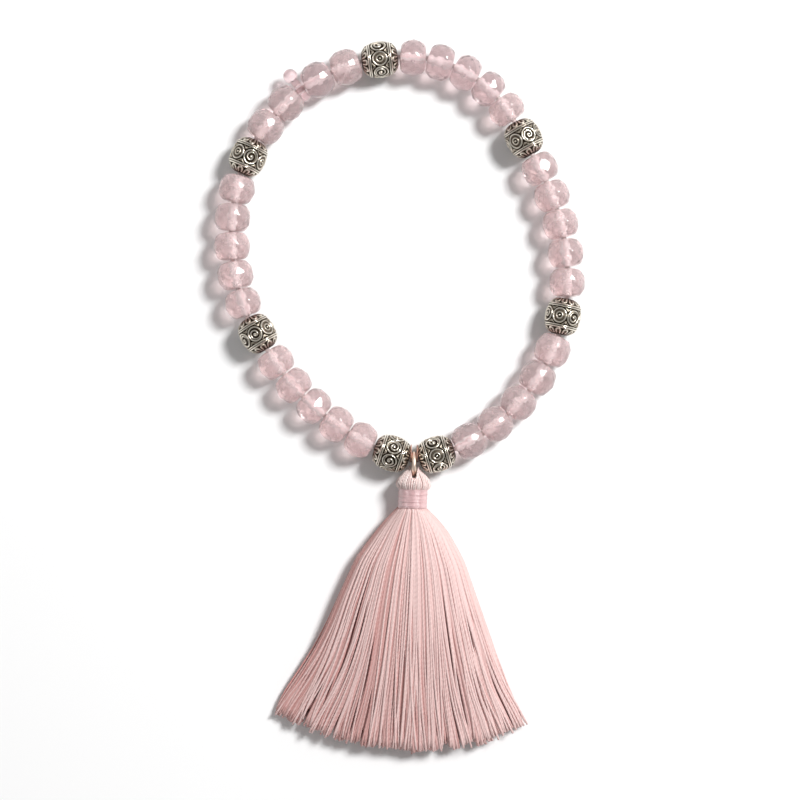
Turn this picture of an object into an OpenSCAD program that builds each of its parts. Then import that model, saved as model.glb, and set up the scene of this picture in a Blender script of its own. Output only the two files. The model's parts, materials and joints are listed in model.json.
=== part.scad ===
// Mala wrist beads: a ring of faceted rose quartz stones and carved silver barrels on an
// elastic string, with a thread tassel on a jump ring where the string closes.
// The object lies flat on a table. +Y points to the silver barrel opposite the tassel.

/* [Stones] */
// Diameter of a quartz stone across its girdle
stone_d = 6; // [5:0.1:7]
// Number of facets around a stone
stone_facets = 10; // [8:1:12]
// Radius of the flat table around each end of a stone's bore
stone_table_r = 1.2; // [0.8:0.05:1.3]
// Diameter of the bore through a stone
stone_bore_d = 1; // [1:0.02:1.1]
// Clear gap on the string between two stones
stone_gap = 0.3; // [0.3:0.02:0.5]

/* [Silver barrels] */
// Greatest diameter of a barrel
silver_d = 5.9; // [5.4:0.1:6]
// Length of a barrel along the string
silver_l = 5.8; // [5:0.1:6.2]
// Diameter of the bore through a barrel
silver_bore_d = 1.3; // [1.1:0.1:1.5]
// Diameter of the wider bore through the barrel that hides the string's knot
knot_bore_d = 1.8; // [1.7:0.1:1.9]
// Clear gap on the string between a barrel and a stone
silver_gap = 0.42; // [0.42:0.02:0.6]
// Number of raised roundels around a barrel
roundel_count = 7; // [5:1:9]

/* [Lay of the string] */
// Diameter of the elastic string
string_d = 0.8; // [0.8:0.02:0.9]
// Upper right stones: length, then the string's turn at the inner, first and last gaps
right_upper = [4.2, 13, 10.5, 7]; // [0:0.1:15]
// Right stones: length, then the string's turn at the inner, first and last gaps
right_middle = [4.5, 7, 0.5, 12]; // [0:0.1:15]
// Lower right stones: length, then the string's turn at the inner, first and last gaps
right_lower = [4.8, 9.5, 11, 12]; // [0:0.1:15]
// Upper left stones: length, then the string's turn at the inner, first and last gaps
left_upper = [4.7, 8.5, 12, 12]; // [0:0.1:15]
// Left stones: length, then the string's turn at the inner, first and last gaps
left_middle = [4.4, 8, 11.5, 12]; // [0:0.1:15]
// Lower left stones: length, then the string's turn at the inner, first and last gaps
left_lower = [4.4, 6.5, 3.5, 11]; // [0:0.1:15]
// Centre of the top silver barrel
top_centre = [-3.2, 54.2]; // [-60:0.1:60]
// Heading of the top silver barrel's axis
top_heading = 7.5; // [0:0.5:15]

/* [Crosswise spacer] */
// Thickness of the spacer along the string
spacer_l = 1.2; // [1:0.1:1.5]
// Diameter of the ball at the spacer's outer end
spacer_ball_d = 2.3; // [2:0.1:2.6]
// Distance from the string to the middle of the ball
spacer_ball_out = 2.75; // [2.5:0.05:3]

/* [Tassel] */
// Diameter of the jump ring's wire
wire_d = 0.75; // [0.6:0.05:0.8]
// Outside diameter of the jump ring
ring_d = 4.05; // [3.9:0.05:4.3]
// Greatest diameter of the tassel's head
head_d = 5.7; // [5:0.1:5.8]
// Diameter of the bound neck
binding_d = 4.7; // [4:0.1:5]
// Length of the bound neck
binding_l = 3.2; // [2.5:0.1:4]
// Length of the loose skirt of threads
skirt_l = 39; // [30:1:45]
// Width of the skirt at its fringe
skirt_w = 41; // [25:1:44]
// Lean of the tassel away from a straight line down the table
tassel_lean = 3; // [0:0.5:6]

/* [Hidden] */
$fn = 48;
string_z = stone_d / 2;
string_r = string_d / 2;
socket_r = string_r + 0.05;

// A bead on the string is [kind, length, turn of the string just before it]
function stretch(s, n) =
    [for (i = [0:n - 1]) ["stone", s[0], i == 0 ? s[2] : s[1]]];
function barrel(s) = ["silver", silver_l, s[3]];
function spaced(s) =
    [for (b = [0:4])
        b == 2 ? ["spacer", spacer_l, s[1]] : ["stone", s[0], b == 0 ? s[2] : s[1]]];
right_side = concat(
    stretch(right_upper, 5), [barrel(right_upper)],
    stretch(right_middle, 5), [barrel(right_middle)],
    stretch(right_lower, 5), [barrel(right_lower)]);
left_side = concat(
    spaced(left_upper), [barrel(left_upper)],
    stretch(left_middle, 5), [barrel(left_middle)],
    stretch(left_lower, 5), [barrel(left_lower)]);

function along(h) = [cos(h), sin(h)];
function gap_after(a, b) = a == "silver" || b == "silver" ? silver_gap : stone_gap;

// Threads a side's beads one after another. side is -1 clockwise and +1 anticlockwise.
// Each placed bead is [kind, length, centre, heading, middle of the gap before it].
function thread(beads, side, at, i = 0) =
    i == len(beads) ? [] :
    let (
        gap = gap_after(at[0], beads[i][0]),
        gap_mid = at[2] + along(at[3]) * (at[1] + gap) / 2,
        heading = at[3] + side * beads[i][2],
        centre = gap_mid + along(heading) * (gap + beads[i][1]) / 2,
        placed = [beads[i][0], beads[i][1], centre, heading, gap_mid])
    concat([placed], thread(beads, side, placed, i + 1));
top_right_end = ["silver", silver_l, top_centre, top_heading];
top_left_end = ["silver", silver_l, top_centre, top_heading + 180];
right_beads = thread(right_side, -1, top_right_end);
left_beads = thread(left_side, 1, top_left_end);

// The two end barrels face each other across the gap that holds the tassel
function end_face(b) = b[2] + along(b[3]) * b[1] / 2;
left_end = end_face(left_beads[17]);
right_end = end_face(right_beads[17]);
tassel_gap = (left_end + right_end) / 2;

// Loose beads by kind, clockwise from the top barrel
clockwise = concat(right_beads, [for (i = [17:-1:0]) left_beads[i]]);
stones = [for (b = clockwise) if (b[0] == "stone") b];
barrels = concat([["silver", silver_l, top_centre, top_heading]],
    [for (b = clockwise) if (b[0] == "silver") b]);
spacer_bead = [for (b = left_beads) if (b[0] == "spacer") b][0];

// Radius and height of the stone's rings of corners, from the girdle to the table.
// Each kite of four corners is flat.
half_step = 180 / stone_facets;
girdle_r = stone_d / 2;
crown_r = 0.94 * girdle_r;
ring_share = [0.44, 0.78, 0.93];
function on_line(a, b, z) = a[0] + (b[0] - a[0]) * (z - a[1]) / (b[1] - a[1]);
function stone_rings(h) =
    let (
        z = ring_share * h,
        r2 = on_line([girdle_r, 0], [crown_r * cos(half_step), z[0]], z[1]),
        r3 = on_line([crown_r, z[0]], [r2 * cos(half_step), z[1]], z[2]))
    [[crown_r, z[0], 0], [r2, z[1], 1], [r3, z[2], 0], [stone_table_r, h, 0]];
function ring_points(r, z, shift) =
    [for (k = [0:stone_facets - 1])
        let (a = half_step * (2 * k + shift)) [r * cos(a), r * sin(a), z]];

// A faceted stone along Z. Rings of corners run from the lower table to the upper one,
// and every other ring is turned by half a step.
module faceted_stone(h) {
    n = stone_facets;
    up = stone_rings(h);
    rings = concat(
        [for (i = [3:-1:0]) [up[i][0], -up[i][1], up[i][2]]],
        [[girdle_r, 0, 1]],
        up);
    points = [for (g = rings) each ring_points(g[0], g[1], g[2])];
    function at(ring, k) = ring * n + (k + n) % n;
    // a band of triangles between two rings that are turned by half a step
    function zigzag(low) = rings[low][2] == 0
        ? [for (k = [0:n - 1]) each [
            [at(low + 1, k), at(low, k + 1), at(low, k)],
            [at(low + 1, k), at(low + 1, k + 1), at(low, k + 1)]]]
        : [for (k = [0:n - 1]) each [
            [at(low + 1, k), at(low + 1, k + 1), at(low, k)],
            [at(low + 1, k + 1), at(low, k + 1), at(low, k)]]];
    // a band of flat quads between two rings that are in line
    function straight(low) =
        [for (k = [0:n - 1])
            [at(low + 1, k), at(low + 1, k + 1), at(low, k + 1), at(low, k)]];
    polyhedron(points, concat(
        [[for (k = [0:n - 1]) at(0, k)]],
        straight(0), zigzag(1), zigzag(2), zigzag(3),
        zigzag(4), zigzag(5), zigzag(6), straight(7),
        [[for (k = [n - 1:-1:0]) at(8, k)]]));
}

// Puts a shape made along Z onto the string, turned about the string by spin
module on_string(b, spin = 0) {
    translate([b[2][0], b[2][1], string_z]) rotate([0, 90, b[3]]) rotate([0, 0, spin])
        children();
}

// Each stone sits on the string with a different facet up
stone_spin_step = 77;

module quartz(i) {
    b = stones[i];
    color("#e3c3c8") on_string(b, i * stone_spin_step) difference() {
        faceted_stone(b[1] / 2);
        cylinder(d = stone_bore_d, h = b[1] + 1, center = true);
    }
}

// Half of a barrel's outline: [distance from the middle, radius]
barrel_half = silver_l / 2;
barrel_r = silver_d / 2;
ridge_at = 1.75;
barrel_outline = [
    [0, barrel_r - 0.18], [ridge_at - 0.45, barrel_r - 0.36],
    [ridge_at - 0.25, barrel_r - 0.1], [ridge_at + 0.05, barrel_r - 0.25],
    [ridge_at + 0.15, barrel_r - 0.6], [barrel_half - 0.28, 1.55],
    [barrel_half, 1.12]];

module barrel_body() {
    half = [for (p = barrel_outline) [p[1], p[0]]];
    mirrored = [for (i = [len(half) - 1:-1:1]) [half[i][0], -half[i][1]]];
    rotate_extrude() polygon(concat([[0, -barrel_half]], mirrored, half, [[0, barrel_half]]));
}

// The roundels are short round pads around the middle, cut to the barrel's crown
module roundels() {
    intersection() {
        rotate_extrude() translate([0.55, 0]) intersection() {
            circle(r = barrel_r - 0.55);
            translate([0, -silver_l]) square([silver_d, 2 * silver_l]);
        }
        union() for (k = [0:roundel_count - 1])
            rotate([90, 0, k * 360 / roundel_count])
                cylinder(d = 2.3, h = silver_d);
    }
}

module silver_barrel(i) {
    color("#b9b2a4") on_string(barrels[i]) difference() {
        union() {
            barrel_body();
            roundels();
        }
        cylinder(d = i == 3 ? knot_bore_d : silver_bore_d, h = silver_l + 1, center = true);
    }
}

// The string between two flexing points is one piece, straight inside its beads and bent
// in each gap between them. It starts with a socket and ends with a ball, and the ball of
// one piece turns in the socket of the next. A station of it is [point, heading, radius].
string_sides = 16;

module string_piece(start, stations, end) {
    n = string_sides;
    last = len(stations) - 1;
    function corner(g, k) =
        let (a = 360 * k / n, c = g[2] * cos(a), across = along(g[1] + 90) * c)
        [g[0][0] + across[0], g[0][1] + across[1], string_z + g[2] * sin(a)];
    points = concat(
        [for (g = stations, k = [0:n - 1]) corner(g, k)],
        [[start[0], start[1], string_z], [end[0], end[1], string_z]]);
    sides = [for (i = [0:last - 1], k = [0:n - 1])
        let (a = i * n + k, b = i * n + (k + 1) % n)
        each [[a, b, b + n], [a, b + n, a + n]]];
    caps = [for (k = [0:n - 1])
        let (k2 = (k + 1) % n)
        each [[(last + 1) * n, k2, k], [(last + 1) * n + 1, last * n + k, last * n + k2]]];
    color("#b98d86") polyhedron(points, concat(sides, caps));
}

function ball_end(p, h, r, from = 0) =
    [for (f = [from:15:75]) [p + along(h) * r * sin(f), h, r * cos(f)]];
function ball_start(p, h) =
    [for (f = [75:-15:0]) [p - along(h) * string_r * sin(f), h, string_r * cos(f)]];
// the hollow that a ball turns in, from its deepest point out to its rim
rim_angle = asin(string_r / socket_r);
function socket_start(p, h) =
    [for (f = [0.25:0.25:1])
        let (a = f * rim_angle)
        [p + along(h) * socket_r * cos(a), h, socket_r * sin(a)]];
function start_face(b) = b[2] - along(b[3]) * b[1] / 2;
function bend(a, b) = [
    [end_face(a), a[3], string_r],
    [b[4], (a[3] + b[3]) / 2, string_r],
    [start_face(b), b[3], string_r]];

// Beads a to b - 1 of one side, from the gap before bead a to the gap before bead b
module string_run(beads, a, b) {
    end = beads[b][4];
    h0 = beads[a][3];
    h1 = beads[b - 1][3];
    string_piece(
        beads[a][4] + along(h0) * socket_r,
        concat(
            socket_start(beads[a][4], h0),
            [for (i = [a + 1:1:b - 1]) each bend(beads[i - 1], beads[i])],
            ball_end(end, h1, string_r)),
        end + along(h1) * string_r);
}

// Runs alternate: five beads, then one barrel
run_ends = [0, 5, 6, 11, 12, 17];

module elastic_top() {
    a = left_beads[0][4];
    b = right_beads[0][4];
    string_piece(
        a - along(top_heading) * string_r,
        concat(ball_start(a, top_heading), ball_end(b, top_heading, string_r)),
        b + along(top_heading) * string_r);
}

// The string's ends meet inside the lower right barrel, in a knot hidden in its bore
knot_r = 0.62;

module elastic_right(k) {
    if (k < 5) {
        string_run(right_beads, run_ends[k], run_ends[k + 1]);
    } else {
        b = right_beads[17];
        string_piece(
            b[4] + along(b[3]) * socket_r,
            concat(socket_start(b[4], b[3]), ball_end(b[2], b[3], knot_r, -45)),
            b[2] + along(b[3]) * knot_r);
    }
}

// The last run on the left crosses the tassel gap in one arc and stops short of the knot
gap_turn = right_beads[17][3] + 540 - left_beads[17][3];
gap_arc_r = norm(right_end - left_end) / 2 / sin(gap_turn / 2);
tail_l = 1.4;

module elastic_left(k) {
    if (k < 5) {
        string_run(left_beads, run_ends[k], run_ends[k + 1]);
    } else {
        b = left_beads[17];
        h = b[3] + gap_turn;
        middle = left_end + along(b[3] + 90) * gap_arc_r;
        arc = [for (t = [0:0.125:1])
            let (a = b[3] + t * gap_turn)
            [middle + along(a - 90) * gap_arc_r, a, string_r]];
        tail = right_end + along(h) * tail_l;
        string_piece(
            b[4] + along(b[3]) * socket_r,
            concat(socket_start(b[4], b[3]), arc, ball_end(tail, h, string_r)),
            tail + along(h) * string_r);
    }
}

// The spacer: a ball that stands out from the loop, a tube on the string and a small foot
foot_out = 1.15;
foot_d = 1.9;

module pink_spacer() {
    color("#dcb4ba") on_string(spacer_bead) difference() {
        union() {
            cylinder(r = 1.15, h = spacer_l, center = true);
            translate([0, -spacer_ball_out, 0]) sphere(d = spacer_ball_d);
            translate([-0.6, -spacer_ball_out, -spacer_l / 2])
                cube([1.2, spacer_ball_out, spacer_l]);
            intersection() {
                translate([0, foot_out, 0]) sphere(d = foot_d);
                translate([-2, 0, -spacer_l / 2]) cube([4, 4, spacer_l]);
            }
        }
        cylinder(d = stone_bore_d, h = spacer_l + 2, center = true);
    }
}

// The jump ring stands on edge around the string, with its far side in the tassel's head
ring_mid_r = (ring_d - wire_d) / 2;
ring_centre = [tassel_gap[0], tassel_gap[1] - 0.8, string_z - 0.1];
head_pivot = ring_centre - [0, ring_mid_r, 0];

module jump_ring() {
    color("#c98a6b") translate(ring_centre) rotate([0, 90, 0])
        rotate_extrude() translate([ring_mid_r, 0]) circle(d = wire_d);
}

// The tassel is drawn along -Y from the middle of the ring's lower wire
module in_tassel() {
    translate(head_pivot) rotate([0, 0, -tassel_lean]) children();
}

sway = 8;
head_l = 2.3;
neck_r = binding_d / 2;
head_outline = [
    [0, 1.25], [0.62, 1.25], [0.85, 0.85], [1.4, 0.05], [2.4, -0.8],
    [head_d / 2, -1.35], [head_d / 2, -1.75], [neck_r, -head_l], [0, -head_l]];
saddle_in_r = 0.72;
saddle_out_r = 1.36;
saddle_h = 1.5;
slot_half = wire_d / 2 + 0.1;
slot_top = slot_half + 2.6 * tan(sway + 1);

// The head: a pear of threads, split by the ring, with the fold that passes through it
module tassel_head() {
    color("#ecd9d6") in_tassel() {
        difference() {
            rotate([-90, 0, 0]) rotate_extrude()
                polygon(head_outline);
            rotate([0, 0, tassel_lean]) linear_extrude(2 * head_d, center = true)
                polygon([[-slot_half, -0.5], [slot_half, -0.5],
                    [slot_top, 2.1], [-slot_top, 2.1]]);
            cylinder(r = saddle_in_r, h = 2 * head_d, center = true);
        }
        difference() {
            cylinder(r = saddle_out_r, h = saddle_h, center = true);
            cylinder(r = saddle_in_r, h = saddle_h + 1, center = true);
            translate([-3, -6.1, -3]) cube([6, 6, 6]);
        }
    }
}

// Thread wound round the neck
module neck_binding() {
    turns = 13;
    turn = binding_l / turns;
    color("#d5a3a6") in_tassel() translate([0, -head_l, 0]) rotate([90, 0, 0])
        rotate_extrude() union() {
            square([neck_r - 0.1, binding_l]);
            for (i = [0:turns - 1])
                translate([neck_r - 0.15, (i + 0.5) * turn]) circle(d = turn);
        }
}

// The skirt: rings of an oval section that widens from the neck to the fringe and sinks to
// the table. share is how far down the skirt a ring is, from 0 to 1.
skirt_ball_r = 1.9;
skirt_pivot = [0, -head_l - binding_l - skirt_ball_r - 0.15, 0];
skirt_rings = 12;
skirt_sides = 20;
table_z = -head_pivot[2];
function skirt_half_w(s) =
    2.3 + (skirt_w / 2 - 2.3) * (0.7 * pow(s, 0.4) + 0.3 * pow(s, 4));
function skirt_thick(s) = 4.5 + 2.1 * sin(180 * pow(s, 0.6)) - 1.4 * s;
function skirt_low(s) = max(0, 1 - 4 * s) * (head_pivot[2] - 2.25);
// the fringe is a shallow arc: its middle hangs lower than its corners
function skirt_down(s, x) =
    skirt_pivot[1] - s * (skirt_l - skirt_ball_r) * (1 - 0.12 * pow(abs(x), 2));
function skirt_ring(s) =
    [for (k = [0:skirt_sides - 1])
        let (
            a = 360 * k / skirt_sides,
            x = cos(a),
            t = skirt_thick(s) / 2)
        [skirt_half_w(s) * x, skirt_down(s, x),
            table_z + skirt_low(s) + t + t * sin(a)]];

module skirt() {
    n = skirt_sides;
    points = [for (i = [0:skirt_rings]) each skirt_ring(i / skirt_rings)];
    sides = [for (i = [0:skirt_rings - 1], k = [0:n - 1])
        let (a = i * n + k, b = i * n + (k + 1) % n)
        each [[a, b, b + n], [a, b + n, a + n]]];
    color("#e8c4c0") in_tassel() union() {
        polyhedron(points, concat(
            [[for (k = [n - 1:-1:0]) k]], sides,
            [[for (k = [0:n - 1]) skirt_rings * n + k]]));
        translate(skirt_pivot) sphere(r = skirt_ball_r);
    }
}

RIGHT_RUNS = [for (k = [0:5]) str("elastic_right_", k + 1)];
LEFT_RUNS = [for (k = [0:5]) str("elastic_left_", k + 1)];
QUARTZ = [for (i = [0:len(stones) - 1]) str("quartz_", i + 1)];
SILVER = [for (i = [0:len(barrels) - 1]) str("silver_", i + 1)];

elastic_top();
for (k = [0:5]) {
    elastic_right(k);
    elastic_left(k);
}
for (i = [0:len(barrels) - 1]) silver_barrel(i);
for (i = [0:len(stones) - 1]) quartz(i);
pink_spacer();
jump_ring();
tassel_head();
neck_binding();
skirt();
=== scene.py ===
import json
import math
import random

import bmesh
import bpy
import numpy as np
from mathutils import Matrix, Vector


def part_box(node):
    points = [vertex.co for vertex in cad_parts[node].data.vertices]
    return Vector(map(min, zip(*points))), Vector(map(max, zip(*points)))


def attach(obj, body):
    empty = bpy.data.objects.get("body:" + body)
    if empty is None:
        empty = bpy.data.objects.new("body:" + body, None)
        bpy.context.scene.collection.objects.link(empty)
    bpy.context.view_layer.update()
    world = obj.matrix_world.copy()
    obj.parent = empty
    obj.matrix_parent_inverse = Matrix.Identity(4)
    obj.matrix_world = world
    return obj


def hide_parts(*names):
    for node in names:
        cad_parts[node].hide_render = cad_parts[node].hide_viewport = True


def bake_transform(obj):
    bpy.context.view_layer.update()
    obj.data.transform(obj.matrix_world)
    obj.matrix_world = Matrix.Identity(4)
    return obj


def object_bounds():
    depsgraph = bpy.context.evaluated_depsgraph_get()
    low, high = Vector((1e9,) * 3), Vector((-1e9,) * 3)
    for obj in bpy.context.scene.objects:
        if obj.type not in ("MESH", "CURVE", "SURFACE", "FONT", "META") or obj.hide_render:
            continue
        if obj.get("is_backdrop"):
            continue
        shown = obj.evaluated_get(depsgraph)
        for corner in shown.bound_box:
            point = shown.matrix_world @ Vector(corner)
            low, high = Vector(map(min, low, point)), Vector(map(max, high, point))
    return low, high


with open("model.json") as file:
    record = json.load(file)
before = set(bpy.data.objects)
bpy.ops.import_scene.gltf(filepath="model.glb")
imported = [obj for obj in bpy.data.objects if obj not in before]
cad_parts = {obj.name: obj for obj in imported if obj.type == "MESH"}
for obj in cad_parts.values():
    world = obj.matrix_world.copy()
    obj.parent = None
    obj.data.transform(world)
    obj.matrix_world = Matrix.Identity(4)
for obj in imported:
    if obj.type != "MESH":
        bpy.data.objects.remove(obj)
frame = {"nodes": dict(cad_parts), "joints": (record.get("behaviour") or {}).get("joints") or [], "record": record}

for name in ("Cube", "Light", "Camera"):
    if name in bpy.data.objects:
        bpy.data.objects.remove(bpy.data.objects[name])
cad_low, cad_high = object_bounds()

MM = 0.001
rng = np.random.default_rng(7)
joints = {j["name"]: j for j in frame["joints"]}
bodies = frame["record"]["behaviour"]["bodies"]
body_of = {node: body for body, nodes in bodies.items() for node in nodes}
scene = bpy.context.scene
scene.view_settings.view_transform = "Standard"
scene.view_settings.look = "None"


# ---------------------------------------------------------------- materials

def new_material(name):
    m = bpy.data.materials.new(name)
    m.use_nodes = True
    n = m.node_tree.nodes
    return m, n, m.node_tree.links, n["Principled BSDF"]


def noise(n, links, scale, detail=2.0, rough=0.5):
    """A noise texture in the object's own coordinates."""
    tc = n.new("ShaderNodeTexCoord")
    tex = n.new("ShaderNodeTexNoise")
    tex.inputs["Scale"].default_value = scale
    tex.inputs["Detail"].default_value = detail
    tex.inputs["Roughness"].default_value = rough
    links.new(tc.outputs["Object"], tex.inputs["Vector"])
    return tex.outputs["Fac"]


def ramp(n, links, fac, stops):
    """A colour ramp over fac. stops are (position, colour)."""
    r = n.new("ShaderNodeValToRGB")
    e = r.color_ramp.elements
    while len(e) > 1:
        e.remove(e[-1])
    e[0].position, e[0].color = stops[0][0], (*stops[0][1], 1)
    for pos, col in stops[1:]:
        x = e.new(pos)
        x.color = (*col, 1)
    links.new(fac, r.inputs["Fac"])
    return r.outputs["Color"]


def remap(n, links, fac, a, b, lo=0.0, hi=1.0):
    """fac from lo..hi to a..b."""
    r = n.new("ShaderNodeMapRange")
    r.inputs["From Min"].default_value = lo
    r.inputs["From Max"].default_value = hi
    r.inputs["To Min"].default_value = a
    r.inputs["To Max"].default_value = b
    links.new(fac, r.inputs["Value"])
    return r.outputs["Result"]


def attribute(n, name):
    a = n.new("ShaderNodeAttribute")
    a.attribute_name = name
    return a.outputs["Fac"]


def quartz_material(name, tint, clear, rough):
    """Milky quartz: part of the light goes through, the rest scatters just under the surface."""
    m, n, links, p = new_material(name)
    milky = noise(n, links, 420, 4, 0.6)
    pale = tuple(min(1.0, c + 0.35 * (1 - c)) for c in tint)
    links.new(ramp(n, links, milky, [(0.30, tint), (0.55, pale), (0.75, tint)]),
              p.inputs["Base Color"])
    links.new(remap(n, links, milky, clear - 0.10, clear + 0.10, 0.35, 0.65),
              p.inputs["Transmission Weight"])
    fine = noise(n, links, 2600, 3, 0.6)
    links.new(remap(n, links, fine, rough * 0.6, rough * 1.5, 0.3, 0.7), p.inputs["Roughness"])
    p.inputs["IOR"].default_value = 1.54
    lit_inside(n, links, p, tint)
    return m


def lit_inside(n, links, shader, tint):
    """Lets shadow rays through, tinted, so that light reaches the bore and the far side."""
    path = n.new("ShaderNodeLightPath")
    clear = n.new("ShaderNodeBsdfTransparent")
    clear.inputs["Color"].default_value = (0.13 * tint[0], 0.12 * tint[1], 0.115 * tint[2], 1)
    mix = n.new("ShaderNodeMixShader")
    links.new(path.outputs["Is Shadow Ray"], mix.inputs[0])
    links.new(shader.outputs["BSDF"], mix.inputs[1])
    links.new(clear.outputs["BSDF"], mix.inputs[2])
    links.new(mix.outputs["Shader"], n["Material Output"].inputs["Surface"])


def bore_material():
    """The polished wall of a stone's bore, with bright streaks along it at random; their near-white colour is a
    painted highlight of the light reflected along the bore.
    """
    m, n, links, p = new_material("quartz_bore")
    painted_highlight_streak = attribute(n, "painted_highlight_streak")
    links.new(ramp(n, links, painted_highlight_streak, [(0.2, (0.93, 0.78, 0.78)), (0.6, (0.99, 0.94, 0.94)),
                                      (0.85, (1.0, 0.98, 0.98))]), p.inputs["Base Color"])
    links.new(remap(n, links, painted_highlight_streak, 0.55, 0.2), p.inputs["Roughness"])
    p.inputs["Transmission Weight"].default_value = 0.08
    lit_inside(n, links, p, (0.95, 0.9, 0.9))
    return m


def silver_material():
    """Silver, black in the hollows of the carving and bright where it is worn."""
    m, n, links, p = new_material("silver_oxidised")
    relief = attribute(n, "relief")
    wear = noise(n, links, 900, 5, 0.65)
    mix = n.new("ShaderNodeMath")
    mix.operation = "MULTIPLY_ADD"
    links.new(wear, mix.inputs[0])
    mix.inputs[1].default_value = 0.25
    links.new(relief, mix.inputs[2])
    level = mix.outputs["Value"]
    links.new(ramp(n, links, level, [
        (0.24, (0.045, 0.034, 0.024)), (0.50, (0.13, 0.105, 0.08)),
        (0.78, (0.53, 0.465, 0.375)), (1.0, (0.90, 0.85, 0.755))]), p.inputs["Base Color"])
    p.inputs["Metallic"].default_value = 1.0
    links.new(remap(n, links, level, 0.62, 0.24, 0.2, 1.0), p.inputs["Roughness"])
    b = n.new("ShaderNodeBump")
    b.inputs["Strength"].default_value = 0.15
    b.inputs["Distance"].default_value = 0.00003
    links.new(noise(n, links, 3200, 3, 0.6), b.inputs["Height"])
    links.new(b.outputs["Normal"], p.inputs["Normal"])
    return m


def thread_material(name, light, deep_shade, gap_shade):
    """Two-ply thread: stripes that wind round it, and a value per vertex that mixes its own colour with painted
    shade, darker where it lies under other threads; the two darker colours are painted shade.
    """
    m, n, links, p = new_material(name)
    turn = attribute(n, "ply")
    wave = n.new("ShaderNodeMath")
    wave.operation = "SINE"
    links.new(turn, wave.inputs[0])
    stripe = remap(n, links, wave.outputs[0], 0.0, 1.0, -1.0, 1.0)
    tone_and_shade = attribute(n, "tone_and_shade")
    mix = n.new("ShaderNodeMath")
    mix.operation = "MULTIPLY_ADD"
    links.new(stripe, mix.inputs[0])
    mix.inputs[1].default_value = 0.14
    links.new(tone_and_shade, mix.inputs[2])
    # painted shade: low values take the two darker colours, for threads lying in shade and the spaces between them
    links.new(ramp(n, links, mix.outputs[0], [(0.0, gap_shade), (0.45, deep_shade), (1.0, light)]),
              p.inputs["Base Color"])
    b = n.new("ShaderNodeBump")
    b.inputs["Strength"].default_value = 0.6
    b.inputs["Distance"].default_value = 0.00005
    links.new(stripe, b.inputs["Height"])
    links.new(b.outputs["Normal"], p.inputs["Normal"])
    links.new(remap(n, links, noise(n, links, 3000, 2), 0.42, 0.62, 0.3, 0.7),
              p.inputs["Roughness"])
    p.inputs["Specular IOR Level"].default_value = 0.5
    p.inputs["Sheen Weight"].default_value = 0.10
    p.inputs["Sheen Roughness"].default_value = 0.4
    return m


def plain_material(name, colour, rough, metallic=0.0, transmission=0.0, grain=0.06, scale=2200):
    """One colour with a fine grain."""
    m, n, links, p = new_material(name)
    f = noise(n, links, scale, 3, 0.6)
    lo = tuple(c * (1 - grain) for c in colour)
    hi = tuple(min(1, c * (1 + grain)) for c in colour)
    links.new(ramp(n, links, f, [(0.3, lo), (0.7, hi)]), p.inputs["Base Color"])
    links.new(remap(n, links, f, rough * 0.85, rough * 1.15, 0.3, 0.7), p.inputs["Roughness"])
    p.inputs["Metallic"].default_value = metallic
    p.inputs["Transmission Weight"].default_value = transmission
    return m


QUARTZ = [
    quartz_material("quartz_cloudy", (0.95, 0.745, 0.75), 0.74, 0.15),
    quartz_material("quartz_soft", (0.955, 0.76, 0.765), 0.80, 0.12),
    quartz_material("quartz_clear", (0.96, 0.765, 0.78), 0.82, 0.08)]
BORE = bore_material()
SILVER = silver_material()
STRING = plain_material("elastic_string", (0.94, 0.78, 0.76), 0.22, transmission=0.5)
ROSE_GOLD = plain_material("rose_gold_wire", (1.0, 0.80, 0.67), 0.46, metallic=1.0)
SPACER = quartz_material("spacer_pink", (0.95, 0.72, 0.745), 0.84, 0.04)
# each thread's second and third colours are painted shade, for threads lying under others and between them
THREAD = thread_material("thread_pale", (0.75, 0.540, 0.518), (0.605, 0.348, 0.327),
                         (0.58, 0.272, 0.251))
HEAD_THREAD = thread_material("thread_head", (0.90, 0.76, 0.73), (0.72, 0.49, 0.465),
                              (0.50, 0.30, 0.275))
BINDING = thread_material("thread_binding", (0.80, 0.53, 0.54), (0.66, 0.385, 0.395),
                          (0.42, 0.20, 0.20))
# the binding is a glossier thread than the rest
glossy = BINDING.node_tree.nodes["Principled BSDF"].inputs
for link in list(glossy["Roughness"].links):
    BINDING.node_tree.links.remove(link)
for socket, value in (("Specular IOR Level", 1.0), ("Sheen Weight", 0.0), ("IOR", 2.0),
                      ("Roughness", 0.30)):
    glossy[socket].default_value = value
# thread wound on the string by the ring: its dark brown is partly its own colour, partly painted shade of the
# space between the barrels
SHADED_WRAP = thread_material("thread_wrap_shaded", (0.62, 0.35, 0.27), (0.46, 0.23, 0.17),
                       (0.28, 0.13, 0.10))

# Where the key light stands, and the eye above the table: some facets face half way between
KEY = Vector((0.75, 0.55, 1.08)).normalized()
EYE = Vector((0, 0, 0.33))


# ------------------------------------------------------------ mesh building

def mesh_object(name, verts, faces, material, attributes=None, matrix=None):
    """A smooth mesh in the scene. attributes are values at its vertices, for the material."""
    me = bpy.data.meshes.new(name)
    me.from_pydata(np.asarray(verts, float).tolist(), [], faces)
    me.update()
    me.polygons.foreach_set("use_smooth", [True] * len(me.polygons))
    for key, values in (attributes or {}).items():
        a = me.attributes.new(key, "FLOAT", "POINT")
        a.data.foreach_set("value", np.asarray(values, np.float32))
    me.materials.append(material)
    o = bpy.data.objects.new(name, me)
    scene.collection.objects.link(o)
    if matrix is not None:
        o.matrix_world = matrix
    return o


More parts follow.
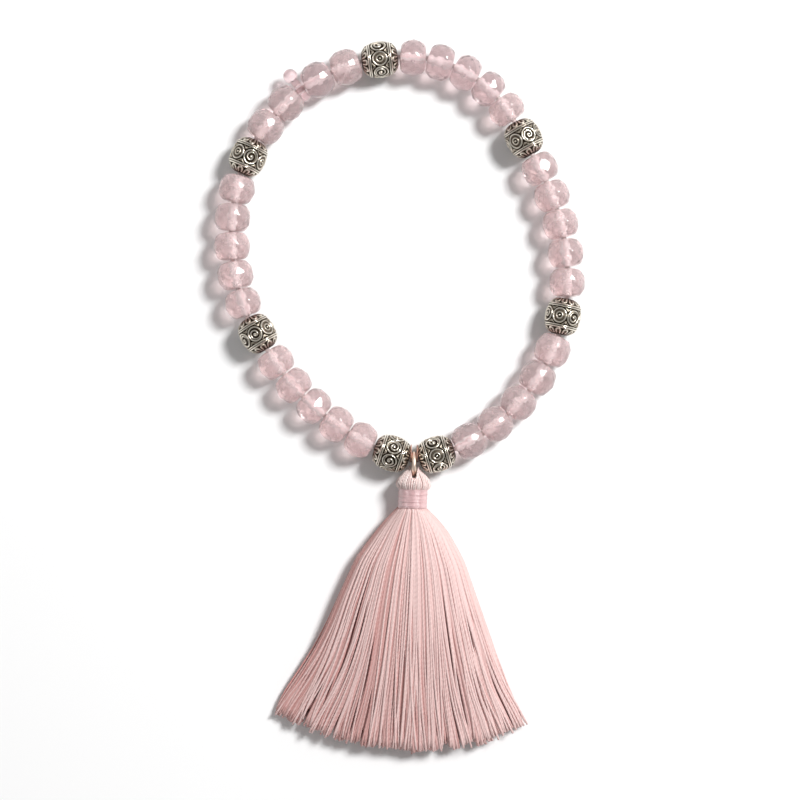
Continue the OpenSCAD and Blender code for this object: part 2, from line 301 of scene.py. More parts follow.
def tubes(paths, radius, sides, ply_pitch):
    """Closed round tubes. paths is (count, stations, 3), radius (count, stations). Each tube's
    first corner faces down. Returns vertices, faces and the winding of the ply round each."""
    t, s, _ = paths.shape
    tang = np.gradient(paths, axis=1)
    tang /= np.linalg.norm(tang, axis=2, keepdims=True) + 1e-12
    up = np.zeros_like(tang)
    up[..., 2] = 1
    side = np.cross(tang, up)
    flat = np.linalg.norm(side, axis=2, keepdims=True)
    side = np.where(flat > 0.05, side / (flat + 1e-12), np.array([1.0, 0, 0]))
    nrm = np.cross(side, tang)
    ang = -math.pi / 2 + np.arange(sides) * 2 * math.pi / sides
    ring = (side[:, :, None, :] * np.cos(ang)[None, None, :, None]
            + nrm[:, :, None, :] * np.sin(ang)[None, None, :, None])
    body = paths[:, :, None, :] + ring * radius[:, :, None, None]
    ends = np.stack([paths[:, 0] - tang[:, 0] * radius[:, :1] * 0.5,
                     paths[:, -1] + tang[:, -1] * radius[:, -1:] * 0.5], axis=1)
    verts = np.concatenate([body.reshape(t, s * sides, 3), ends], axis=1)
    per = s * sides + 2
    k = np.arange(sides)
    k2 = (k + 1) % sides
    quad = []
    for i in range(s - 1):
        quad.append(np.stack([i * sides + k, i * sides + k2, (i + 1) * sides + k2,
                              (i + 1) * sides + k], axis=1))
    quad = np.concatenate(quad)
    tri = np.concatenate([
        np.stack([np.full(sides, s * sides), k2, k], axis=1),
        np.stack([np.full(sides, s * sides + 1), (s - 1) * sides + k, (s - 1) * sides + k2],
                 axis=1)])
    faces = []
    for i in range(t):
        faces += (quad + i * per).tolist() + (tri + i * per).tolist()
    length = np.concatenate([np.zeros((t, 1)), np.cumsum(
        np.linalg.norm(np.diff(paths, axis=1), axis=2), axis=1)], axis=1)
    wind = (length[:, :, None] / ply_pitch * 2 * math.pi + 2 * ang[None, None, :]
            + rng.uniform(0, 2 * math.pi, (t, 1, 1)))
    wind = np.concatenate([wind.reshape(t, s * sides), wind[:, 0, :1] * 0,
                           wind[:, -1, :1]], axis=1)
    return verts.reshape(-1, 3), faces, wind.reshape(-1), per


def tube_faces(rows, around):
    """The faces of a tube made of rows of points, with both ends capped."""
    I, K = np.meshgrid(np.arange(rows - 1), np.arange(around), indexing="ij")
    K2 = (K + 1) % around
    faces = np.stack([I * around + K, (I + 1) * around + K, (I + 1) * around + K2,
                      I * around + K2], axis=-1).reshape(-1, 4).tolist()
    faces.append(list(range(around)))
    faces.append(list(reversed(range((rows - 1) * around, rows * around))))
    return faces


def ring_faces(rows, around):
    """The faces of a grid of points that closes on itself both ways."""
    I, K = np.meshgrid(np.arange(rows), np.arange(around), indexing="ij")
    I2, K2 = (I + 1) % rows, (K + 1) % around
    return np.stack([I * around + K, I * around + K2, I2 * around + K2, I2 * around + K],
                    axis=-1).reshape(-1, 4).tolist()


def on_string(joint):
    """The matrix that puts a piece made along Z, in mm, onto its place on the string."""
    j = joints[joint]
    z = Vector(j["axis"]).normalized()
    x = Vector((0, 0, -1))
    y = z.cross(x)
    m = Matrix((x, y, z)).transposed().to_4x4()
    return Matrix.Translation(Vector(j["pos_m"])) @ m @ Matrix.Scale(MM, 4)


def node_length(node, joint):
    """How long a CAD node is along its own axis, in mm."""
    z = np.array(joints[joint]["axis"])
    o = frame["nodes"][node]
    co = np.array([o.matrix_world @ v.co for v in o.data.vertices])
    d = co @ z
    return (d.max() - d.min()) / MM


def fix_normals(o):
    """Turns every face outward."""
    bm = bmesh.new()
    bm.from_mesh(o.data)
    bmesh.ops.recalc_face_normals(bm, faces=bm.faces[:])
    bm.to_mesh(o.data)
    bm.free()


def bake_scale(o):
    """Puts the object's matrix into its mesh, so that the object itself has none."""
    o.data.transform(o.matrix_world)
    o.matrix_world = Matrix.Identity(4)


# ------------------------------------------------------------------ stones

def hull(bm):
    """The convex hull of a mesh's corners, with flat facets in one piece each."""
    points = [v.co.copy() for v in bm.verts]
    bm.clear()
    for co in points:
        bm.verts.new(co)
    bmesh.ops.remove_doubles(bm, verts=bm.verts[:], dist=0.05)
    result = bmesh.ops.convex_hull(bm, input=bm.verts[:])
    loose = [g for g in result["geom_interior"] if isinstance(g, bmesh.types.BMVert)]
    bmesh.ops.delete(bm, geom=loose, context="VERTS")
    bmesh.ops.dissolve_limit(bm, angle_limit=math.radians(1.5), verts=bm.verts[:],
                             edges=bm.edges[:])


def stone_mesh(length, seed, cuts):
    """A faceted barrel in mm. cuts are extra small facets, each a direction and a depth."""
    r = random.Random(seed)
    n = 10
    half = length / 2
    girdle = 3.0
    step = math.pi / n
    crown = girdle * (0.94 + r.uniform(-0.008, 0.008))
    share = [0.44 + r.uniform(-0.02, 0.02), 0.78, 0.93]
    table = 1.2 if seed <= 5 else 1.5

    def line(a, b, z):
        return a[0] + (b[0] - a[0]) * (z - a[1]) / (b[1] - a[1])

    z = [s * half for s in share]
    r2 = line((girdle, 0), (crown * math.cos(step), z[0]), z[1])
    r3 = line((crown, z[0]), (r2 * math.cos(step), z[1]), z[2])
    up = [(crown, z[0], 0), (r2, z[1], 1), (r3, z[2], 0), (table, half, 0)]
    rings = [(a, -b, c) for a, b, c in reversed(up)] + [(girdle, 0.0, 1)] + up
    bm = bmesh.new()
    for rad, zz, shift in rings:
        for k in range(n):
            a = step * (2 * k + shift)
            bm.verts.new((rad * math.cos(a), rad * math.sin(a), zz))
    hull(bm)
    for direction, depth in cuts:
        reach = max(v.co.dot(direction) for v in bm.verts)
        bmesh.ops.bisect_plane(bm, geom=bm.verts[:] + bm.edges[:] + bm.faces[:],
                               plane_co=direction * (reach - depth), plane_no=direction,
                               clear_outer=True)
        hull(bm)
    bmesh.ops.bevel(bm, geom=bm.edges[:], offset=0.14, segments=2, profile=0.6,
                    affect="EDGES", clamp_overlap=True)
    for f in bm.faces:
        f.smooth = not any(f.normal.dot(d) > 0.9995 for d, _ in cuts)
    bmesh.ops.triangulate(bm, faces=[f for f in bm.faces if len(f.verts) > 4])
    me = bpy.data.meshes.new("stone")
    bm.to_mesh(me)
    bm.free()
    return me


# Radii of the bores in mm. The barrel with the knot in it has the wide one.
STONE_BORE, BARREL_BORE, KNOT_BORE = 0.5, 0.62, 0.88


def cutter(radius, length):
    bm = bmesh.new()
    bmesh.ops.create_cone(bm, cap_ends=True, segments=40, radius1=radius, radius2=radius,
                          depth=length)
    me = bpy.data.meshes.new("bore_cutter")
    bm.to_mesh(me)
    bm.free()
    me.materials.append(BORE)
    return me


def make_stone(i):
    node = f"quartz_{i}"
    joint = f"spin_{node}"
    r = random.Random(100 + i)
    centre = Vector(joints[joint]["pos_m"])
    place = on_string(joint)
    # the direction, seen from the stone, in which a facet sends the key light to the eye
    glint = (KEY + (EYE - centre).normalized()).normalized()
    local = (place.to_3x3().inverted() @ glint).normalized()
    spin = math.atan2(local.y, local.x) + math.radians(r.uniform(-3, 3))
    cuts = []
    if i in GLINTS:
        turned = Matrix.Rotation(-spin, 3, "Z") @ local
        cuts.append((turned, GLINTS[i]))
    else:
        spin += math.radians(14)
    me = stone_mesh(node_length(node, joint), i, cuts)
    me.materials.append(QUARTZ[2 if i in CLEAR else 0 if i % 3 else 1])
    o = bpy.data.objects.new(f"stone_{i:02d}", me)
    scene.collection.objects.link(o)
    c = bpy.data.objects.new("bore_cutter", cutter(STONE_BORE, 8))
    scene.collection.objects.link(c)
    mod = o.modifiers.new("bore", "BOOLEAN")
    mod.operation = "DIFFERENCE"
    mod.solver = "EXACT"
    mod.material_mode = "TRANSFER"
    mod.object = c
    dg = bpy.context.evaluated_depsgraph_get()
    final = bpy.data.meshes.new_from_object(o.evaluated_get(dg))
    o.modifiers.clear()
    o.data = final
    bpy.data.objects.remove(c)
    if len(final.materials) < 2:
        final.materials.append(BORE)
    co = np.array([v.co for v in final.vertices])
    rad = np.hypot(co[:, 0], co[:, 1])
    for p in final.polygons:
        if all(rad[v] < STONE_BORE + 0.005 for v in p.vertices):
            p.material_index = 1
            p.use_smooth = True
    final.set_sharp_from_angle(angle=math.radians(35))
    # streaks at random round the bore, which the bore material paints near white as a highlight
    tones = [r.random() for _ in range(40)]
    turn = (np.arctan2(co[:, 1], co[:, 0]) / (2 * math.pi) * 40).round().astype(int) % 40
    a = final.attributes.new("painted_highlight_streak", "FLOAT", "POINT")
    a.data.foreach_set("value", np.array([tones[t] for t in turn], np.float32))
    o.matrix_world = place @ Matrix.Rotation(spin, 4, "Z")
    bake_scale(o)
    # the stone's own origin is its centre, so that each has its own part of the cloudiness
    o.data.transform(Matrix.Translation(-centre))
    o.location = centre
    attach(o, body_of[node])
    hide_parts(node)


# The stones that look the clearest
CLEAR = {1, 2, 3, 4, 28}
# The depth of the facet that glints, in mm, on the stones that have one
GLINTS = {2: 0.06, 4: 0.05, 6: 0.09, 10: 0.07, 11: 0.05, 13: 0.05, 14: 0.11, 18: 0.05,
          22: 0.09, 24: 0.08, 27: 0.07, 28: 0.15, 29: 0.14}
for i in range(1, 30):
    make_stone(i)


# ----------------------------------------------------------- silver barrels

def bump(d, w):
    """A rounded ridge of half width w, 0 to 1, at distance d from its middle."""
    return np.sqrt(np.clip(1 - (d / w) ** 2, 0, None))


def spiral(x, y, hand, phase, pitch=0.55, w=0.15):
    """The height of a spiral rib with a boss in its middle."""
    rho = np.hypot(x, y)
    th = np.arctan2(y * hand, x) + phase
    arm = (rho - pitch * th / (2 * math.pi)) / pitch
    d = np.abs(arm - np.round(arm)) * pitch
    h = bump(d, w) * (rho < 0.90)
    return np.maximum(h, bump(rho, 0.21))


def motif(x, y, kind, phase):
    """One roundel of the carving: a ring round a spiral, a boss or a cup."""
    rho = np.hypot(x, y)
    rim = bump(np.abs(rho - 1.12), 0.16)
    if kind == 0:
        inner = spiral(x, y, 1, phase)
    elif kind == 1:
        inner = spiral(x, y, -1, phase, 0.62, 0.16)
    elif kind == 2:
        inner = np.maximum(bump(rho, 0.36), 0.85 * bump(np.abs(rho - 0.66), 0.14))
    else:
        inner = np.maximum(bump(rho, 0.22), 0.9 * bump(np.abs(rho - 0.52), 0.16))
        inner = np.maximum(inner, 0.45 * (rho > 0.7))
    return np.maximum(rim, inner * (rho < 0.93))


def barrel_mesh(seed, bore):
    """A carved barrel in mm, its vertices, faces and the height of the relief at each vertex."""
    r = random.Random(seed)
    around, rows = 300, 118
    phi = np.arange(around) * 2 * math.pi / around
    v = np.linspace(-2.9, 2.9, rows)
    av = np.abs(v)
    # the barrel under the relief
    base = np.interp(av, [0, 1.3, 1.5, 1.95, 2.2, 2.5, 2.75, 2.9],
                     [2.66, 2.50, 2.44, 2.34, 2.20, 1.92, 1.58, 1.22])
    P, V = np.meshgrid(phi, v)
    U = P * 2.9
    total = 2 * math.pi * 2.9
    count = 7
    h = np.zeros_like(U)
    kinds = [0, 1, 2, 0, 3, 1, 3]
    shift = r.randrange(7)
    for k in range(count):
        c = k * total / count
        x = (U - c + total / 2) % total - total / 2
        near = np.abs(x) < 1.45
        m = motif(x, V, kinds[(k + shift) % 7], r.uniform(0, 6.28))
        # curved ribs in the corners between two roundels
        rho = np.hypot(x, V)
        rib = bump(np.abs(rho - 1.52), 0.10) * (np.abs(V) > 0.86) * (np.abs(V) < 1.36) * 0.8
        h = np.maximum(h, np.where(near, np.maximum(m, rib), 0))
        # a bead of metal in each corner
        for sgn in (1, -1):
            d = np.hypot(x - total / count / 2, V - sgn * 1.12)
            h = np.maximum(h, 0.7 * bump(d, 0.19))
    h *= (np.abs(V) < 1.38)
    ridge = bump(np.abs(np.abs(V) - 1.84), 0.14)
    ridge2 = 0.95 * bump(np.abs(np.abs(V) - 1.53), 0.13)
    h = np.maximum(h * 0.9, np.maximum(ridge, ridge2))
    # petals round both ends: a raised horseshoe each, with a dark pit inside and between
    petals = 11
    step = 2 * math.pi / petals
    ph = (P + step / 2) % step - step / 2
    rad = np.interp(av, [0, 1.95, 2.2, 2.5, 2.75, 2.9],
                    [2.6, 2.34, 2.2, 1.92, 1.58, 1.22])[:, None]
    px = ph * rad / (rad * step * 0.5)
    s = (np.abs(V) - 2.04) / 0.76
    reach = np.hypot(px / 0.80, np.clip(0.55 - s, 0, None) / 0.62)
    shoe = bump(np.abs(reach - 0.72), 0.34)
    seed_bead = 0.5 * bump(np.hypot(px / 0.3, (s - 0.62) / 0.35), 1.0)
    petal = np.maximum(shoe, seed_bead) * 0.85
    petal *= np.clip((2.86 - np.abs(V)) / 0.08, 0.35, 1)
    h = np.where(np.abs(V) > 2.0, petal, h)
    top = np.interp(av, [0, 1.5, 1.7, 1.95, 2.4, 2.9], [0.30, 0.36, 0.44, 0.22, 0.2, 0.12])
    Rr = base[:, None] + h * top[:, None]
    X, Y = Rr * np.cos(P), Rr * np.sin(P)
    outer = np.stack([X, Y, V], axis=-1)
    # the flat ends and the bore close the barrel
    inner_rows = []
    inner_relief = []
    for rr, vv, lv in [(bore + 0.1, 2.95, 0.5), (bore, 2.88, 0.2), (bore, 0.0, 0.0),
                       (bore, -2.88, 0.2), (bore + 0.1, -2.95, 0.5)]:
        inner_rows.append(np.stack([rr * np.cos(phi), rr * np.sin(phi),
                                    np.full(around, vv)], axis=-1))
        inner_relief.append(np.full(around, lv))
    grid = np.concatenate([outer, np.array(inner_rows)])
    rel = np.concatenate([h, np.array(inner_relief)])
    return grid.reshape(-1, 3), ring_faces(len(grid), around), rel.reshape(-1)


def make_barrel(i):
    node = f"silver_{i}"
    joint = f"spin_{node}"
    verts, faces, rel = barrel_mesh(i * 11, KNOT_BORE if i == 4 else BARREL_BORE)
    o = mesh_object(f"barrel_{i}", verts, faces, SILVER, attributes={"relief": rel},
                    matrix=on_string(joint) @ Matrix.Rotation(math.radians(i * 31), 4, "Z"))
    bake_scale(o)
    centre = Vector(joints[joint]["pos_m"])
    o.data.transform(Matrix.Translation(-centre))
    o.location = centre
    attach(o, body_of[node])
    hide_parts(node)


for i in range(1, 8):
    make_barrel(i)


# ------------------------------------------------ string, spacer, jump ring

for node, o in frame["nodes"].items():
    look = STRING if node.startswith("elastic") else SPACER if node == "pink_spacer" else None
    if look:
        o.data.materials.clear()
        o.data.materials.append(look)

ring_centre = Vector([(a + b) / 2 for a, b in zip(*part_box("jump_ring"))])
low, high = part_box("jump_ring")
wire_r = (high[0] - low[0]) / 2
ring_r = (high[1] - low[1]) / 2 - wire_r


def ring():
    major, minor = 128, 32
    a = np.arange(major) * 2 * math.pi / major
    b = np.arange(minor) * 2 * math.pi / minor
    A, B = np.meshgrid(a, b, indexing="ij")
    rr = ring_r + wire_r * np.cos(B)
    verts = np.stack([wire_r * np.sin(B), rr * np.cos(A), rr * np.sin(A)], axis=-1)
    o = mesh_object("ring_wire", verts.reshape(-1, 3), ring_faces(major, minor), ROSE_GOLD)
    fix_normals(o)
    o.location = ring_centre
    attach(o, "ring")
    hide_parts("jump_ring")


ring()


def gap_wraps():
    """Two flat coils of thread on the string, one either side of the ring, coloured dark brown partly as painted
    shade.
    """
    a, b = (Vector(joints[f"spin_silver_{i}"]["pos_m"]) for i in (4, 5))
    toward = (a - b).normalized()
    mid = (a + b) / 2
    for side, name in ((1, "right"), (-1, "left")):
        turns = 4
        t = np.linspace(0, turns, turns * 30)
        ang = t * 2 * math.pi
        up = np.array([0, 0, 1.0])
        u = np.array(toward)
        flat = np.cross(up, u)
        r = 0.52 + 0.21 * t
        along = np.full(len(t), side * (wire_r / MM + 0.13))
        path = (np.array(mid) / MM + along[:, None] * u
                + (r * np.cos(ang))[:, None] * flat + (r * np.sin(ang))[:, None] * up)
        c = 10
        k = np.arange(c) * 2 * math.pi / c
        out = np.cos(ang)[:, None] * flat + np.sin(ang)[:, None] * up
        pts = (path[:, None, :] + 0.13 * out[:, None, :] * np.cos(k)[None, :, None]
               + 0.10 * u[None, None, :] * np.sin(k)[None, :, None])
        n = len(t)
        ply = np.repeat(ang, c) * 6 + np.tile(k, n) * 2
        o = mesh_object(f"gap_wrap_{name}", pts.reshape(-1, 3) * MM, tube_faces(n, c), SHADED_WRAP,
                        attributes={"ply": ply, "tone_and_shade": np.full(n * c, 0.6)})
        fix_normals(o)
        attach(o, body_of["elastic_left_6"])


gap_wraps()


# ------------------------------------------------------------------ tassel

pivot = Vector(joints["tassel_sway"]["pos_m"])
skirt_pivot = Vector(joints["skirt_sway"]["pos_m"])
down = (skirt_pivot - pivot).normalized()
across = Vector((-down.y, down.x, 0))
FLOOR = -pivot.z / MM


def tassel(points):
    """Points [across, down, up] in mm from the head's pivot, put into the row frame in metres."""
    p = np.asarray(points, float)
    out = (p[..., :1] * np.array(across) + p[..., 1:2] * np.array(down)
           + p[..., 2:3] * np.array([0, 0, 1.0])) * MM
    return out + np.array(pivot)


# The tassel's sizes in mm, down from the head's pivot. HEAD is (down, radius).
NECK_TOP, NECK_END = 2.3, 5.6
HEAD = [(-1.50, 0.60), (-1.10, 0.96), (-0.60, 1.37), (-0.10, 1.82), (0.40, 2.26),
        (0.90, 2.64), (1.40, 2.88), (1.80, 2.90), (2.15, 2.72), (2.50, 2.28)]
TOP = -1.25


def head_threads():
    """Threads that arch over from the neck to the ring, parted where the ring runs through."""
    hd = np.array([h[0] for h in HEAD])
    hr = np.array([h[1] for h in HEAD])
    d = np.linspace(TOP, 2.7, 26)
    radius = 0.125
    paths = []
    for layer, (n, sink) in enumerate([(52, 0.0), (52, 0.20), (60, 0.34)]):
        for k in range(n):
            a = 2 * math.pi * (k + 0.5 * layer + rng.uniform(-0.25, 0.25)) / n
            rad = np.interp(d, hd, hr) - radius - sink - rng.uniform(0, 0.07)
            x = rad * math.cos(a)
            z = rad * math.sin(a)
            # the slot between the two halves narrows to a point below the ring
            half = np.interp(d, [TOP, -0.3, 0.45, 0.85], [0.58, 0.45, 0.31, 0.0]) + radius
            half = np.where(d < 0.85, half, 0)
            sx = 1.0 if math.cos(a) > 0 else -1.0
            # the ring stands square to X, a few degrees off the tassel's own axis
            skew = -d * down.x / across.x
            x = np.where(np.abs(x - skew) < half, skew + sx * half, x)
            x = x + 0.02 * np.sin(d * 3 + rng.uniform(0, 6))
            paths.append(np.stack([x, d, z], axis=1))
    paths = np.array(paths)
    verts, faces, ply, per = tubes(tassel(paths), np.full(paths.shape[:2], radius * MM), 6,
                                   0.55 * MM)
    # painted shade: the lower two layers of thread are given much darker values than the top one
    tone_and_shade = np.concatenate([rng.uniform(0.65, 1.0, 52), rng.uniform(0.1, 0.45, 52),
                           rng.uniform(0.0, 0.15, 60)])
    tone_and_shade = np.repeat(tone_and_shade, per)
    o = mesh_object("head_threads", verts, faces, HEAD_THREAD,
                    attributes={"ply": ply, "tone_and_shade": tone_and_shade})
    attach(o, "head")
    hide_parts("tassel_head")


head_threads()


def head_core():
    """What the threads lie on: a pear cut open for the ring, so no light shows between them."""
    around, rows = 72, 30
    d = np.linspace(0.50, 2.6, rows)
    hd = np.array([h[0] for h in HEAD])
    hr = np.array([h[1] for h in HEAD])
    rad = np.interp(d, hd, hr) - 0.34
    rad[0] = 0.02
    rad[-1] = 0.02
    a = np.arange(around) * 2 * math.pi / around
    A, D = np.meshgrid(a, d)
    R = np.broadcast_to(rad[:, None], A.shape)
    pts = np.stack([R * np.cos(A), D, R * np.sin(A)], axis=-1)
    n = rows * around
    o = mesh_object("head_core", tassel(pts.reshape(-1, 3)), tube_faces(rows, around),
                    HEAD_THREAD, attributes={"ply": np.zeros(n), "tone_and_shade": np.full(n, 0.5)})
    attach(o, "head")


head_core()


def binding():
    """Thread wound round the neck in close turns, over a core."""
    turns, r = 13, 2.24
    pitch = (NECK_END - NECK_TOP) / turns
    t = np.linspace(0, turns, turns * 40)
    a = t * 2 * math.pi
    wob = 0.03 * np.sin(a * 0.37 + 1) + 0.02 * np.sin(a * 1.7)
    d = NECK_TOP + pitch * 0.5 + t * pitch * (turns - 1) / turns
    path = np.stack([(r + wob) * np.cos(a), d, (r + wob) * np.sin(a)], axis=1)
    c = 12
    b = np.arange(c) * 2 * math.pi / c
    out = np.stack([np.cos(a), np.zeros_like(a), np.sin(a)], axis=1)
    ax = np.array([0, 1.0, 0])
    pts = (path[:, None, :] + pitch * 0.50 * out[:, None, :] * np.cos(b)[None, :, None]
           + pitch * 0.60 * ax[None, None, :] * np.sin(b)[None, :, None])
    s = len(t)
    ply = (np.repeat(a, c) * 9 + np.tile(b, s) * 2)
    tone_and_shade = np.repeat(0.60 + 0.10 * np.sin(t * 1.3) + 0.08 * rng.uniform(-1, 1, s), c)
    coil = mesh_object("binding_coil", tassel(pts.reshape(-1, 3)), tube_faces(s, c), BINDING,
                       attributes={"ply": ply, "tone_and_shade": tone_and_shade})
    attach(coil, "head")
    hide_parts("neck_binding")
    around = 64
    rows = [(0.02, NECK_TOP - 0.1), (2.2, NECK_TOP), (2.22, NECK_END - 0.1), (0.02, NECK_END)]
    aa = np.arange(around) * 2 * math.pi / around
    v = np.concatenate([np.stack([q * np.cos(aa), np.full(around, dd), q * np.sin(aa)], axis=1)
                        for q, dd in rows])
    core = mesh_object("binding_core", tassel(v), tube_faces(len(rows), around), BINDING,
                       attributes={"ply": np.zeros(len(v)), "tone_and_shade": np.full(len(v), 0.2)})
    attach(core, "head")


binding()

# Half widths of the loose skirt in mm, by share of its length below the binding
SHARE = [0.0, 0.035, 0.11, 0.25, 0.42, 0.58, 0.70, 0.82, 0.93, 1.0]
LEFT = [2.15, 3.3, 5.3, 8.6, 10.9, 12.8, 14.5, 16.7, 19.0, 20.2]
RIGHT = [2.15, 3.6, 6.0, 8.9, 11.1, 13.2, 14.8, 16.7, 18.9, 20.1]
THICK = [4.2, 4.6, 5.3, 6.3, 6.5, 6.2, 5.7, 5.0, 4.2, 3.7]
LIFT = [0.8, 0.55, 0.25, 0.0, 0.0, 0.0, 0.0, 0.0, 0.0, 0.0]
# A thread's radius, the longest thread, and how much shorter the outermost are
TH = 0.185
SKIRT_LENGTH = 38.9
HEM = 0.125


def smooth_interp(s, ys):
    """A smooth curve through the rows above."""
    fine = np.linspace(0, 1, 201)
    y = np.interp(fine, SHARE, ys)
    kernel = np.exp(-0.5 * (np.arange(-12, 13) / 5.0) ** 2)
    kernel /= kernel.sum()
    pad = np.concatenate([2 * y[0] - y[12:0:-1], y, 2 * y[-1] - y[-2:-14:-1]])
    return np.interp(s, fine, np.convolve(pad, kernel, "valid"))


def skirt():
    """The loose threads, in layers from the top down, over a closed heart."""
    stations = 34
    s = np.linspace(0, 1, stations) ** 1.15
    left, right = smooth_interp(s, LEFT), smooth_interp(s, RIGHT)
    thick, lift = smooth_interp(s, THICK), smooth_interp(s, LIFT)
    locks = 30
    lock_at = np.linspace(-0.97, 0.97, locks) + rng.uniform(-0.02, 0.02, locks)
    lock_wave = rng.normal(0, 1, (locks, 3))
    lock_end = rng.normal(0, 0.006, locks)
    layers = [(266, 1.0, 0.07), (220, 0.90, 0.08), (150, 0.62, 0.16), (120, 0.36, 0.16),
              (210, 0.04, 0.05)]
    paths, tones, homes = [], [], []
    for level, (count, height, spread) in enumerate(layers):
        us = np.linspace(-1, 1, count)
        us = np.sign(us) * np.abs(us) ** 0.92 * 0.995
        for u0 in us:
            u = np.clip(u0 + rng.normal(0, 0.010), -1, 1)
            k = int(np.argmin(np.abs(lock_at - u)))
            pull = rng.uniform(0.0, 0.38)
            toward = lock_at[k]
            w = np.clip(height + rng.normal(0, spread * 0.5), 0.0, 1.0)
            uu = u + (toward - u) * pull * np.clip((s - 0.12) / 0.7, 0, 1)
            a, b, c = lock_wave[k]
            sway = 0.015 * a * np.sin(s * 4.2 + b * 2) + 0.008 * c * np.sin(s * 9 + a * 3)
            own = rng.normal(0, 1, 3)
            sway = sway + 0.010 * own[0] * np.sin(s * 6 + own[1] * 3) * s
            sway = sway + 0.017 * own[2] * np.clip((s - 0.6) / 0.4, 0, 1) ** 2
            uu = np.clip(uu + sway * np.clip(s * 5, 0, 1), -1.02, 1.02)
            wide = np.where(uu < 0, left, right)
            x = uu * wide
            # the section is an oval that lies on the table
            dome = np.sqrt(np.clip(1 - 0.93 * np.abs(uu) ** 2.2, 0.05, 1))
            half = thick / 2 * dome
            mid_z = lift + thick / 2 * (0.55 + 0.45 * dome)
            z = mid_z + (2 * w - 1) * (half - TH)
            neck = np.clip(1 - s / 0.06, 0, 1)
            sunk = abs(rng.normal(0, 0.10))
            z = z - sunk * (1 - neck) * (1 if w > 0.5 else 0)
            z = np.maximum(z, TH + 0.02)
            length = SKIRT_LENGTH * (1 - HEM * u ** 2) * (
                1 + lock_end[k] + rng.normal(0, 0.006) - 0.012 * (level == 4))
            d = NECK_END - 0.12 + s * length
            droop = np.clip((s - 0.9) / 0.1, 0, 1) ** 2 * rng.uniform(-0.2, 0.35)
            z = np.maximum(z - droop, TH + 0.02)
            paths.append(np.stack([x, d, z + FLOOR], axis=1))
            light = 0.54 + 0.22 * rng.uniform(-1, 1)
            # some threads much lighter at random: partly their own colour, partly a painted highlight on single
            # threads
            if rng.uniform() < 0.17:
                light += 0.36
            # painted shade: the lower layers are made darker
            light *= (0.70, 0.80, 0.9, 1.0, 1.0)[4 - level]
            # painted light and shade: threads on the right, towards the key light, made lighter, those on the left
            # darker
            light += 0.22 * np.clip((u - 0.1) / 0.8, 0, 1) - 0.32 * np.clip(-u - 0.1, 0, 1)
            # painted shade: some threads darker near the neck, where they crowd together
            painted_neck_shade = 1 - rng.uniform(0.0, 0.6) * np.clip(1 - s / 0.16, 0, 1)
            along = 1 + 0.12 * rng.normal() * np.sin(s * 8 + rng.uniform(0, 6))
            # painted shade: threads sunk below the top are darker
            tone_and_shade = (light - 0.5 * sunk) * painted_neck_shade * along
            # painted light: the cut ends are made lighter again, where they catch the light
            tip = np.clip((s - 0.95) / 0.05, 0, 1)
            tone_and_shade = tone_and_shade + (0.60 - tone_and_shade) * tip * (0.7 if level else 0.2)
            tones.append(np.clip(tone_and_shade, 0.02, 1))
            homes.append(u)
    # loose ones that stray past the lower right corner, and others that cross over the top
    for k in range(74):
        u = rng.uniform(0.62, 1.0) if k < 14 else rng.uniform(-0.93, 0.93)
        out = rng.uniform(0.02, 0.085) if k < 14 else rng.uniform(-0.11, 0.11)
        uu = u + out * np.clip((s - 0.35) / 0.65, 0, 1) ** 1.5
        if u > 0.93:
            uu = np.minimum(uu, 1.045)
        wide = np.where(uu < 0, left, right)
        dome = np.sqrt(np.clip(1 - 0.93 * np.abs(np.clip(uu, -1, 1)) ** 2.2, 0.05, 1))
        z = np.maximum(lift + thick / 2 * (0.55 + 0.45 * dome) + thick / 2 * dome - TH
                       + rng.uniform(0.02, 0.16), TH + 0.02)
        d = NECK_END - 0.12 + s * SKIRT_LENGTH * (1 - HEM * u ** 2) * rng.uniform(0.985, 1.012)
        paths.append(np.stack([uu * wide, d, z + FLOOR], axis=1))
        # the threads that cross over the top are light: partly their own colour, partly a painted highlight
        tones.append(np.full(stations, rng.uniform(0.78, 1.0)))
        homes.append(u)
    paths = np.array(paths)
    tones = np.array(tones)
    homes = np.array(homes)
    groups = 8
    edges = np.linspace(-1.001, 1.001, groups + 1)
    for g in range(groups):
        pick = (homes >= edges[g]) & (homes < edges[g + 1])
        pp = paths[pick]
        rad = np.full(pp.shape[:2], TH) * (1 + 0.12 * rng.normal(0, 1, (len(pp), 1)).clip(-1, 1))
        verts, faces, ply, per = tubes(tassel(pp), rad * MM, 6, 0.85 * MM)
        tone_and_shade = np.repeat(tones[pick], 6, axis=1)
        tone_and_shade = np.concatenate([tone_and_shade, tones[pick][:, :1], tones[pick][:, -1:]], axis=1).ravel()
        o = mesh_object(f"skirt_threads_{g + 1}", verts, faces, THREAD,
                        attributes={"ply": ply, "tone_and_shade": tone_and_shade})
        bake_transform(o)
        if g == 0:
            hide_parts("skirt")
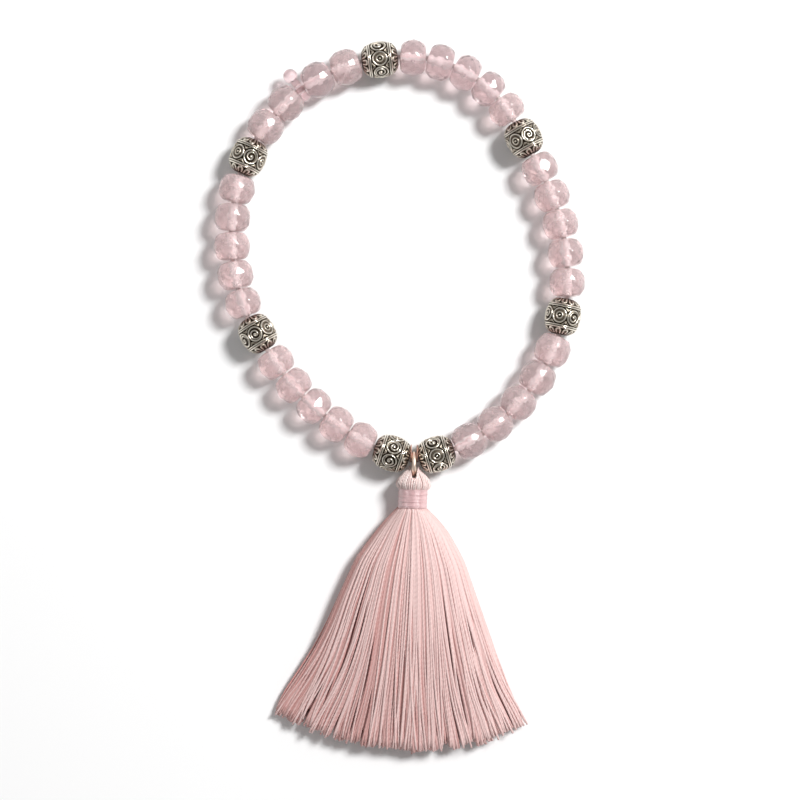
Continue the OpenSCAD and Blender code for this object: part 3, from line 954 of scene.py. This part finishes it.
    # the heart of the skirt, under the threads, in a darker salmon colour: painted shade where it shows between
    # them
    rows, around = 40, 60
    ss = np.linspace(0.004, 0.955, rows)
    le, ri = smooth_interp(ss, LEFT) * 0.90, smooth_interp(ss, RIGHT) * 0.90
    tk, lf = smooth_interp(ss, THICK), smooth_interp(ss, LIFT)
    a = np.arange(around) * 2 * math.pi / around
    A, S = np.meshgrid(a, ss)
    cx = np.cos(A)
    wide = np.where(cx < 0, le[:, None], ri[:, None])
    dome = np.sqrt(np.clip(1 - 0.93 * np.abs(cx) ** 2.2, 0.05, 1))
    z = (lf[:, None] + tk[:, None] / 2 * 0.97
         + np.sin(A) * (tk[:, None] / 2 - np.where(np.sin(A) > 0, 0.30, 0.62))
         * np.maximum(dome, 0.2))
    x = cx * wide
    d = NECK_END - 0.05 + S * (SKIRT_LENGTH - 0.4) * (1 - HEM * cx ** 2)
    pts = np.stack([x, d, np.maximum(z, 0.3) + FLOOR], axis=-1)
    n = rows * around
    o = mesh_object("skirt_heart", tassel(pts.reshape(-1, 3)), tube_faces(rows, around),
                    THREAD, attributes={"ply": np.zeros(n), "tone_and_shade": np.full(n, 0.40)})
    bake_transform(o)


skirt()


# --------------------------------------------------------- floor and lights

def floor():
    me = bpy.data.meshes.new("floor")
    me.from_pydata([(-3, -3, 0), (3, -3, 0), (3, 3, 0), (-3, 3, 0)], [], [(0, 1, 2, 3)])
    m, n, links, p = new_material("floor_white")
    p.inputs["Base Color"].default_value = (0.93, 0.93, 0.93, 1)
    p.inputs["Roughness"].default_value = 0.8
    p.inputs["Specular IOR Level"].default_value = 0.1
    me.materials.append(m)
    o = bpy.data.objects.new("floor", me)
    scene.collection.objects.link(o)
    o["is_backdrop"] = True


floor()

middle = Vector(((cad_low[0] + cad_high[0]) / 2, (cad_low[1] + cad_high[1]) / 2, 0))


def area_light(name, direction, distance, size, power):
    d = bpy.data.lights.new(name, "AREA")
    d.shape = "DISK"
    d.size = size
    d.energy = power
    o = bpy.data.objects.new(name, d)
    scene.collection.objects.link(o)
    v = Vector(direction).normalized()
    o.location = middle + v * distance
    o.rotation_euler = v.to_track_quat("Z", "Y").to_euler()


area_light("key", KEY, 0.9, 0.25, 9.1)
area_light("fill", (-0.7, 0.3, 0.9), 1.0, 0.9, 0.8)

world = bpy.data.worlds.new("studio")
scene.world = world
world.use_nodes = True
# a bright horizon and a dimmer sky, as in a light tent that is open at the top
wn, wl = world.node_tree.nodes, world.node_tree.links
split = wn.new("ShaderNodeSeparateXYZ")
wl.new(wn.new("ShaderNodeTexCoord").outputs["Generated"], split.inputs["Vector"])
wl.new(ramp(wn, wl, split.outputs["Z"], [
    (0.0, (1.0, 0.99, 0.98)), (0.25, (0.72, 0.715, 0.71)), (0.55, (0.33, 0.33, 0.33)),
    (1.0, (0.22, 0.22, 0.22))]), wn["Background"].inputs["Color"])
wn["Background"].inputs["Strength"].default_value = 0.80

# What the picture spans at the height of the beads, in metres
VIEW_WIDTH = 0.1296
camera = bpy.data.cameras.new("camera")
camera.lens = 90
camera.sensor_width = 36
camera_o = bpy.data.objects.new("camera", camera)
scene.collection.objects.link(camera_o)
height = VIEW_WIDTH * camera.lens / camera.sensor_width + 0.003
camera_o.location = (middle.x + 0.0001, middle.y - 0.0009, height)
camera.clip_start = 0.01
scene.camera = camera_o

low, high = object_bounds()
